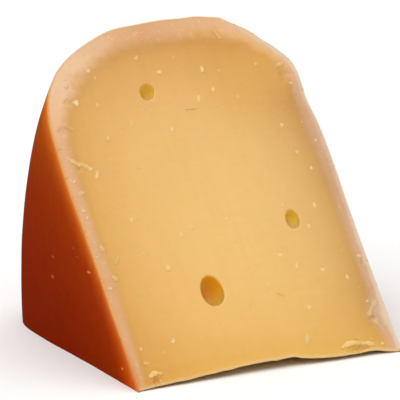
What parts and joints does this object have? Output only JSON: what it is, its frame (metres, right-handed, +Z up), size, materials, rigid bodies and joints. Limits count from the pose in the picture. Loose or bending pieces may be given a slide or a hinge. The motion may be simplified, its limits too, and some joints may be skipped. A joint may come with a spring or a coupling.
{
  "type": "cheese wedge",
  "caption": "Wedge of matured wheel cheese on a cut face, with a sloping cut face, waxy orange rind and small open eyes.",
  "frame": {"origin": "centre of the base, on the surface that the wedge lies on", "axes": "+Z up; X along the axis of the wheel that the wedge was cut from, from one flat rind to the other; +Y from the thin tip to the rounded rim"},
  "size_m": [0.1164, 0.1687, 0.1266],
  "materials": {
    "paste": "satin",
    "rind": "satin"
  },
  "bodies": {
    "root": {"cheese_wedge": "paste"}
  },
  "joints": []
}
